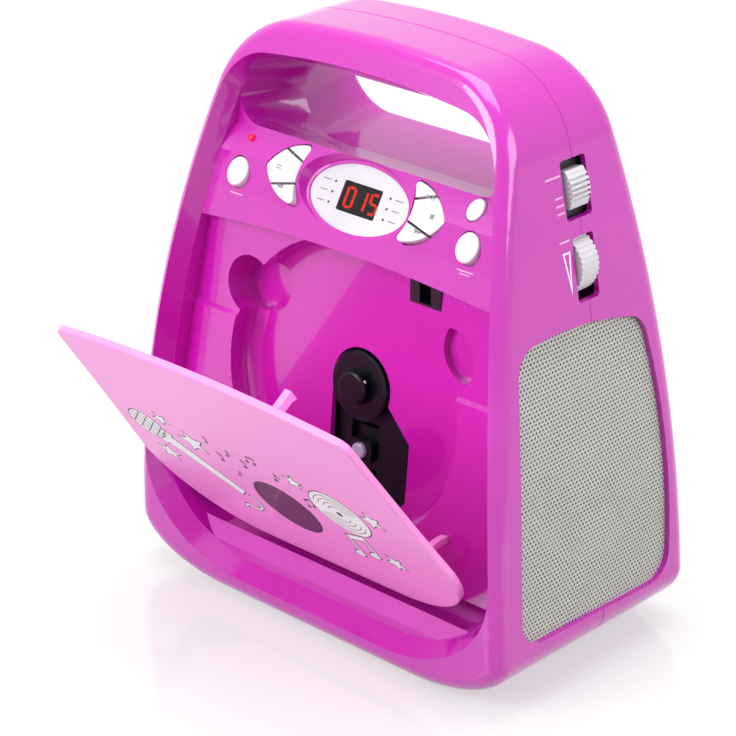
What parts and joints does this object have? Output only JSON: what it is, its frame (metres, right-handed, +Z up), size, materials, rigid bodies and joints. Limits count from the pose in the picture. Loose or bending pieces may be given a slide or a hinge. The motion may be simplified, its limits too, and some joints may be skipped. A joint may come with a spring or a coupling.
{
  "type": "karaoke machine with disc tray",
  "caption": "Upright arched karaoke player with a carry-handle opening, a fold-down disc door over a round well, a key panel with a display, and speaker grilles in its sides.",
  "frame": {"origin": "on the floor under the middle of the seam between the front and rear shells", "axes": "+Z up, -Y out of the disc door side, +X to the side with the volume wheel"},
  "size_m": [0.2074, 0.187, 0.2488],
  "materials": {
    "case_plastic": "satin gloss",
    "door_plastic": "satin gloss",
    "grille_plastic": "fine perforated, satin",
    "black_plastic": "fine matte",
    "white_plastic": "satin gloss",
    "silver_plastic": "silver gloss",
    "smoked_window": "gloss",
    "dark_window": "gloss",
    "red_glow": "lit",
    "steel": "satin",
    "plated_steel": "bright",
    "natural_nylon": "matte",
    "rubber": "matte",
    "circuit_board": "lacquered",
    "copper_winding": "lacquered",
    "paper_cone": "matte",
    "lens_glass": "coated"
  },
  "bodies": {
    "case": {"front_shell": "case_plastic", "rear_shell": "case_plastic", "right_grille": "grille_plastic", "left_grille": "grille_plastic", "selector_switch": "black_plastic", "volume_control": "black_plastic", "lid_switch": "black_plastic", "drive_chassis": "black_plastic", "display_module": "black_plastic", "battery_tray": "black_plastic", "microphone_jacks": "black_plastic", "audio_jack": "black_plastic", "mains_inlet": "black_plastic", "key_switches": "black_plastic", "display_bezel": "silver_plastic", "display_window": "smoked_window", "display_digits": "red_glow", "power_lamp": "red_glow", "right_speaker_frame": "steel", "left_speaker_frame": "steel", "hinge_pins": "steel", "guide_rods": "steel", "sled_motor": "steel", "spindle_motor": "steel", "transformer_core": "steel", "battery_springs": "steel", "case_screws": "steel", "data_socket": "plated_steel", "rubber_isolators": "rubber", "rubber_feet": "rubber", "side_board": "circuit_board", "key_board": "circuit_board", "main_board": "circuit_board", "transformer_coil": "copper_winding", "right_speaker_cone": "paper_cone", "left_speaker_cone": "paper_cone"},
    "door": {"disc_door": "door_plastic", "door_window": "dark_window"},
    "spindle": {"turntable_hub": "black_plastic", "chuck_balls": "steel"},
    "sled": {"optical_sled": "black_plastic", "pickup_lens": "lens_glass"},
    "gear": {"sled_gear": "natural_nylon"},
    "pinion": {"sled_pinion": "natural_nylon"},
    "plunger": {"lid_switch_plunger": "black_plastic"},
    "slider": {"function_slider": "white_plastic"},
    "wheel": {"volume_wheel": "white_plastic"},
    "battery_cover": {"battery_door": "case_plastic"},
    "left_lower_key_body": {"left_lower_key": "white_plastic"},
    "left_middle_key_body": {"left_middle_key": "white_plastic"},
    "left_upper_key_body": {"left_upper_key": "white_plastic"},
    "right_lower_key_body": {"right_lower_key": "white_plastic"},
    "right_middle_key_body": {"right_middle_key": "white_plastic"},
    "right_upper_key_body": {"right_upper_key": "white_plastic"},
    "left_round_key_body": {"left_round_key": "white_plastic"},
    "right_round_key_body": {"right_round_key": "white_plastic"},
    "small_round_key_body": {"small_round_key": "white_plastic"}
  },
  "joints": [
    {"name": "door_hinge", "type": "hinge", "parent": "case", "child": "door", "pos_m": [0, -0.0514, 0.0419], "axis": [1, 0, 0], "range_deg": [-40.2, 0]},
    {"name": "spindle_spin", "type": "hinge", "parent": "case", "child": "spindle", "pos_m": [0, -0.0453, 0.105], "axis": [0, -0.9954, 0.0958], "continuous": true},
    {"name": "gear_spin", "type": "hinge", "parent": "case", "child": "gear", "pos_m": [0.033, -0.02593, 0.074], "axis": [0, -0.9954, 0.0958], "range_deg": [-23.95, 119.45]},
    {"name": "sled_slide", "type": "slide", "parent": "case", "child": "sled", "axis": [0, -0.0958, -0.9954], "range_m": [-0.004, 0.02]},
    {"name": "pinion_spin", "type": "hinge", "parent": "case", "child": "pinion", "pos_m": [0.033, -0.02463, 0.08754], "axis": [0, -0.9954, 0.0958], "range_deg": [-287, 58]},
    {"name": "left_lower_key_press", "type": "slide", "parent": "case", "child": "left_lower_key_body", "axis": [0, 0.8599, -0.5105], "range_m": [0, 0.0008], "stiffness_N_per_m": 300},
    {"name": "left_middle_key_press", "type": "slide", "parent": "case", "child": "left_middle_key_body", "axis": [0, 0.8599, -0.5105], "range_m": [0, 0.0008], "stiffness_N_per_m": 300},
    {"name": "left_upper_key_press", "type": "slide", "parent": "case", "child": "left_upper_key_body", "axis": [0, 0.8599, -0.5105], "range_m": [0, 0.0008], "stiffness_N_per_m": 300},
    {"name": "right_lower_key_press", "type": "slide", "parent": "case", "child": "right_lower_key_body", "axis": [0, 0.8599, -0.5105], "range_m": [0, 0.0008], "stiffness_N_per_m": 300},
    {"name": "right_middle_key_press", "type": "slide", "parent": "case", "child": "right_middle_key_body", "axis": [0, 0.8599, -0.5105], "range_m": [0, 0.0008], "stiffness_N_per_m": 300},
    {"name": "right_upper_key_press", "type": "slide", "parent": "case", "child": "right_upper_key_body", "axis": [0, 0.8599, -0.5105], "range_m": [0, 0.0008], "stiffness_N_per_m": 300},
    {"name": "left_round_key_press", "type": "slide", "parent": "case", "child": "left_round_key_body", "axis": [0, 0.8599, -0.5105], "range_m": [0, 0.0008], "stiffness_N_per_m": 300},
    {"name": "right_round_key_press", "type": "slide", "parent": "case", "child": "right_round_key_body", "axis": [0, 0.8599, -0.5105], "range_m": [0, 0.0008], "stiffness_N_per_m": 300},
    {"name": "small_round_key_press", "type": "slide", "parent": "case", "child": "small_round_key_body", "axis": [0, 0.8599, -0.5105], "range_m": [0, 0.0008], "stiffness_N_per_m": 300},
    {"name": "lid_switch_press", "type": "slide", "parent": "case", "child": "plunger", "axis": [0, 1, 0], "range_m": [0, 0.002], "stiffness_N_per_m": 100},
    {"name": "function_select", "type": "slide", "parent": "case", "child": "slider", "axis": [-0.2125, 0, 0.9772], "range_m": [-0.0035, 0.0035]},
    {"name": "volume_turn", "type": "hinge", "parent": "case", "child": "wheel", "pos_m": [0.0778, 0, 0.1705], "axis": [0, 1, 0], "range_deg": [-140, 140]},
    {"name": "battery_door_hinge", "type": "hinge", "parent": "case", "child": "battery_cover", "pos_m": [0.025, 0.0555, 0.0145], "axis": [-1, 0, 0], "range_deg": [0, 95]}
  ],
  "couplings": [
    {"joint": "gear_spin", "follows": "sled_slide", "rad_per_m": 104.17},
    {"joint": "pinion_spin", "follows": "sled_slide", "rad_per_m": -250}
  ]
}
